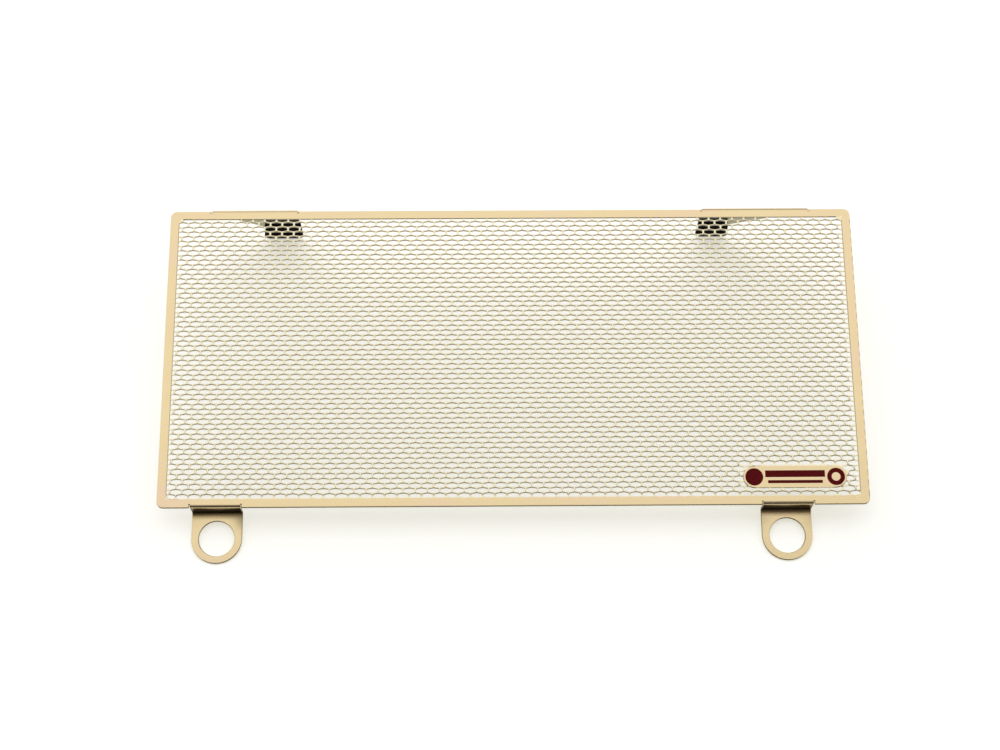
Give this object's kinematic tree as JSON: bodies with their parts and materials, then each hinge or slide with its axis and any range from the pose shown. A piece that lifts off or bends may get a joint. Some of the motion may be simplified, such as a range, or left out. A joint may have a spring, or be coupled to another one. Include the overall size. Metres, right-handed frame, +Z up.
{
  "type": "motorcycle radiator guard",
  "caption": "Flat rectangular mesh guard folded from one metal sheet, with a plain border, padded tongues folded back along the top and stepped tabs with fixing holes along the bottom.",
  "frame": {"origin": "on the ground under the middle of the part's box, as it lies on its back on its tongues and tabs", "axes": "+X along the panel to the right as seen from the front, +Y towards the upper edge with the tongues, +Z up; the panel's face looks up and leans 7.7 degrees towards -Y"},
  "size_m": [0.35, 0.1861, 0.0357],
  "materials": {
    "satin_titanium": "satin, pale gold, lightly brushed along the panel",
    "black_rubber": "matt black rubber sheet",
    "dark_red_print": "matt printed ink"
  },
  "bodies": {
    "root": {"guard_sheet": "satin_titanium", "left_tongue_pad": "black_rubber", "right_tongue_pad": "black_rubber", "badge_print": "dark_red_print"}
  },
  "joints": []
}
